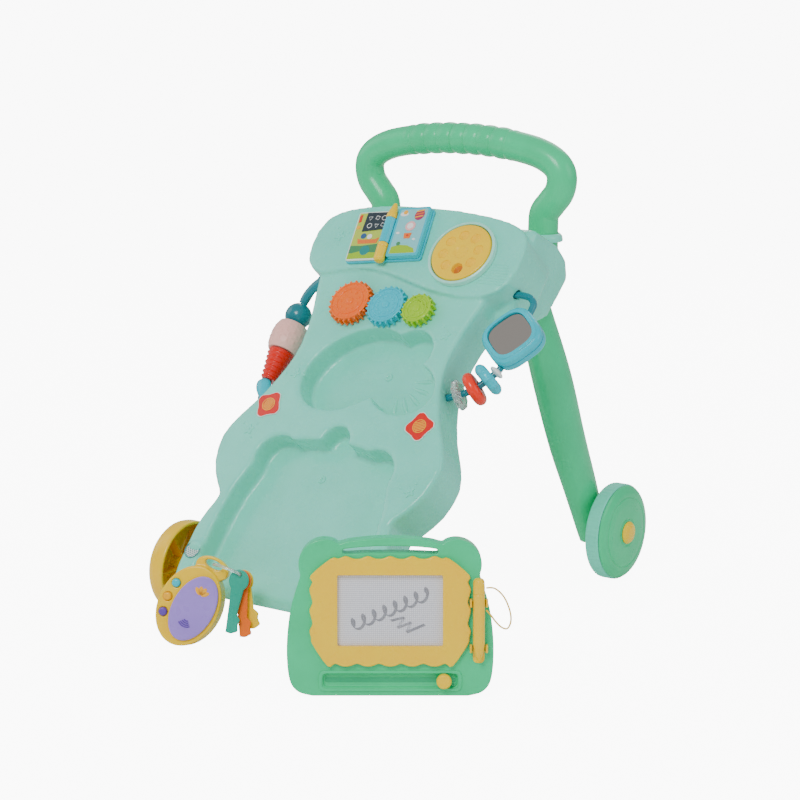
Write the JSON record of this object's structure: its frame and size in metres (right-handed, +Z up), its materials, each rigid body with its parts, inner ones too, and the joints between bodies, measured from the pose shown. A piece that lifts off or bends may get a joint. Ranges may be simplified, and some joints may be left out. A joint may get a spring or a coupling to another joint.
{
  "type": "baby walker",
  "caption": "Push-along baby walker with a sloping activity panel, U-shaped handle on two rear legs, four wheels, spinning gears and beads, and a docking drawing board and key fob.",
  "frame": {"origin": "on the floor, under the middle of the whole set's footprint, with the walker, drawing board and key fob as placed", "axes": "+Z up, +Y from the activity panel's toe towards the handle and rear wheels, +X to the right seen from the front of the panel"},
  "size_m": [0.4457, 0.5643, 0.4795],
  "materials": {
    "mint": "moulded, glossy",
    "pale_mint": "moulded, glossy",
    "green": "moulded, satin gloss",
    "tread": "soft moulded tread",
    "yellow": "moulded, glossy",
    "orange": "moulded, glossy",
    "red_orange": "moulded, glossy",
    "red": "moulded, glossy",
    "cyan": "moulded, glossy",
    "lime": "moulded, glossy",
    "teal": "moulded, glossy",
    "pink": "moulded, satin",
    "white": "moulded, glossy",
    "purple": "moulded, glossy",
    "clear": "clear moulded, glossy",
    "screen": "fine mesh film",
    "print_page": "printed and laminated",
    "cord": "soft moulded",
    "mirror": "silvered plastic sheet",
    "steel": "drawn wire, zinc plated",
    "circuit": "solder mask over glass fibre",
    "black": "moulded frame and paper cone"
  },
  "bodies": {
    "walker": {"front_shell": "mint", "back_shell": "mint", "battery_cover": "mint", "circuit_board": "circuit", "speaker": "black", "handle_bar": "green", "left_leg": "green", "right_leg": "green", "left_rear_axle": "steel", "right_rear_axle": "steel", "front_axle": "steel", "dial_bezel": "pale_mint", "book_tray": "cyan", "left_page": "print_page", "pencil_body": "cyan", "pencil_tip": "yellow", "pencil_eraser": "yellow", "left_flower_plate": "red", "right_flower_plate": "red", "left_rod": "teal", "right_rod": "teal"},
    "left_front": {"left_front_wheel": "yellow", "left_front_hub_cap": "orange"},
    "right_front": {"right_front_wheel": "yellow", "right_front_hub_cap": "orange"},
    "left_rear": {"left_rear_wheel": "green", "left_rear_tread": "tread", "left_rear_hub_cap": "yellow"},
    "right_rear": {"right_rear_wheel": "green", "right_rear_tread": "tread", "right_rear_hub_cap": "yellow"},
    "dial": {"yellow_dial": "yellow"},
    "orange_gear_body": {"orange_gear": "orange"},
    "cyan_gear_body": {"cyan_gear": "cyan"},
    "green_gear_body": {"green_gear": "lime"},
    "page": {"turning_page": "print_page"},
    "ball": {"teal_ball": "teal"},
    "barrel": {"pink_barrel": "pink"},
    "cone": {"red_cone": "red"},
    "clear_gear_body": {"clear_gear": "clear"},
    "orange_ring_body": {"orange_ring": "red_orange"},
    "knob_ring": {"cyan_knob_ring": "cyan"},
    "bead": {"white_bead": "white"},
    "mirror": {"mirror_frame": "cyan", "mirror_glass": "mirror"},
    "board": {"board_body": "green", "board_frame": "yellow", "drawing_screen": "screen", "pen_cord": "cord"},
    "pen_body": {"pen": "yellow"},
    "eraser": {"eraser_knob": "yellow"},
    "fob": {"fob_body": "yellow", "fob_inlay": "purple", "key_link": "clear"},
    "cyan_button": {"fob_cyan_button": "cyan"},
    "yellow_button": {"fob_yellow_button": "yellow"},
    "purple_button": {"fob_purple_button": "purple"},
    "teal_key_body": {"teal_key": "teal"},
    "orange_key_body": {"orange_key": "orange"},
    "yellow_key_body": {"yellow_key": "yellow"}
  },
  "joints": [
    {"name": "left_front_spin", "type": "hinge", "parent": "walker", "child": "left_front", "pos_m": [-0.1761, -0.1294, 0.047], "axis": [1, 0, 0], "continuous": true},
    {"name": "right_front_spin", "type": "hinge", "parent": "walker", "child": "right_front", "pos_m": [0.0859, -0.1294, 0.047], "axis": [1, 0, 0], "continuous": true},
    {"name": "left_rear_spin", "type": "hinge", "parent": "walker", "child": "left_rear", "pos_m": [-0.1876, 0.2312, 0.051], "axis": [1, 0, 0], "continuous": true},
    {"name": "right_rear_spin", "type": "hinge", "parent": "walker", "child": "right_rear", "pos_m": [0.0974, 0.2312, 0.051], "axis": [1, 0, 0], "continuous": true},
    {"name": "dial_spin", "type": "hinge", "parent": "walker", "child": "dial", "pos_m": [0.0169, 0.07381, 0.35287], "axis": [0, -0.766, 0.6428], "continuous": true},
    {"name": "orange_gear_spin", "type": "hinge", "parent": "walker", "child": "orange_gear_body", "pos_m": [-0.08995, 0.02978, 0.30039], "axis": [0, -0.766, 0.6428], "continuous": true},
    {"name": "cyan_gear_spin", "type": "hinge", "parent": "walker", "child": "cyan_gear_body", "pos_m": [-0.0451, 0.02978, 0.30039], "axis": [0, -0.766, 0.6428], "continuous": true},
    {"name": "green_gear_spin", "type": "hinge", "parent": "walker", "child": "green_gear_body", "pos_m": [-0.00708, 0.02978, 0.30039], "axis": [0, -0.766, 0.6428], "continuous": true},
    {"name": "page_turn", "type": "hinge", "parent": "walker", "child": "page", "pos_m": [-0.0781, 0.07083, 0.37234], "axis": [0.1392, -0.6365, -0.7586], "range_deg": [0, 165]},
    {"name": "ball_spin", "type": "hinge", "parent": "walker", "child": "ball", "pos_m": [-0.1701, 0.03964, 0.28103], "axis": [0, 0.6428, 0.766], "continuous": true},
    {"name": "barrel_spin", "type": "hinge", "parent": "walker", "child": "barrel", "pos_m": [-0.1701, 0.02132, 0.25919], "axis": [0, 0.6428, 0.766], "continuous": true},
    {"name": "cone_spin", "type": "hinge", "parent": "walker", "child": "cone", "pos_m": [-0.1701, -0.00053, 0.23315], "axis": [0, 0.6428, 0.766], "continuous": true},
    {"name": "clear_gear_spin", "type": "hinge", "parent": "walker", "child": "clear_gear_body", "pos_m": [0.0615, -0.00285, 0.23039], "axis": [0.8829, 0.3018, 0.3596], "continuous": true},
    {"name": "orange_ring_spin", "type": "hinge", "parent": "walker", "child": "orange_ring_body", "pos_m": [0.0757, 0.00274, 0.23705], "axis": [0.7193, 0.4465, 0.5321], "continuous": true},
    {"name": "knob_ring_spin", "type": "hinge", "parent": "walker", "child": "knob_ring", "pos_m": [0.0863, 0.01071, 0.24655], "axis": [0.5736, 0.5265, 0.6275], "continuous": true},
    {"name": "white_bead_spin", "type": "hinge", "parent": "walker", "child": "bead", "pos_m": [0.0923, 0.01637, 0.25329], "axis": [0.454, 0.5727, 0.6825], "continuous": true},
    {"name": "mirror_swing", "type": "hinge", "parent": "walker", "child": "mirror", "pos_m": [0.098, 0.04028, 0.28179], "axis": [0.1094, 0.6389, 0.7614], "range_deg": [-25, 25]},
    {"name": "board_lift", "type": "slide", "parent": "walker", "child": "board", "axis": [0, 0, 1], "range_m": [0, 0.1]},
    {"name": "pen_pull", "type": "slide", "parent": "board", "child": "pen_body", "axis": [-0.0607, 0.0851, 0.9945], "range_m": [0, 0.08]},
    {"name": "eraser_slide", "type": "slide", "parent": "board", "child": "eraser", "axis": [0.8141, 0.5807, 0], "range_m": [-0.1, 0.006]},
    {"name": "fob_lift", "type": "slide", "parent": "walker", "child": "fob", "axis": [0, 0, 1], "range_m": [0, 0.1]},
    {"name": "cyan_button_press", "type": "slide", "parent": "fob", "child": "cyan_button", "axis": [-0.4513, 0.8487, -0.2756], "range_m": [0, 0.0012], "stiffness_N_per_m": 150},
    {"name": "yellow_button_press", "type": "slide", "parent": "fob", "child": "yellow_button", "axis": [-0.4513, 0.8487, -0.2756], "range_m": [0, 0.0012], "stiffness_N_per_m": 150},
    {"name": "purple_button_press", "type": "slide", "parent": "fob", "child": "purple_button", "axis": [-0.4513, 0.8487, -0.2756], "range_m": [0, 0.0012], "stiffness_N_per_m": 150},
    {"name": "teal_key_swing", "type": "hinge", "parent": "fob", "child": "teal_key_body", "pos_m": [-0.05972, -0.19446, 0.07341], "axis": [0.4513, -0.8487, 0.2756], "range_deg": [-10, 20]},
    {"name": "orange_key_swing", "type": "hinge", "parent": "fob", "child": "orange_key_body", "pos_m": [-0.06242, -0.18937, 0.07176], "axis": [0.4513, -0.8487, 0.2756], "range_deg": [-20, 20]},
    {"name": "yellow_key_swing", "type": "hinge", "parent": "fob", "child": "yellow_key_body", "pos_m": [-0.06513, -0.18428, 0.0701], "axis": [0.4513, -0.8487, 0.2756], "range_deg": [-20, 20]}
  ],
  "couplings": [
    {"joint": "cyan_gear_spin", "follows": "orange_gear_spin", "ratio": -1.0909},
    {"joint": "green_gear_spin", "follows": "orange_gear_spin", "ratio": 1.4118}
  ]
}
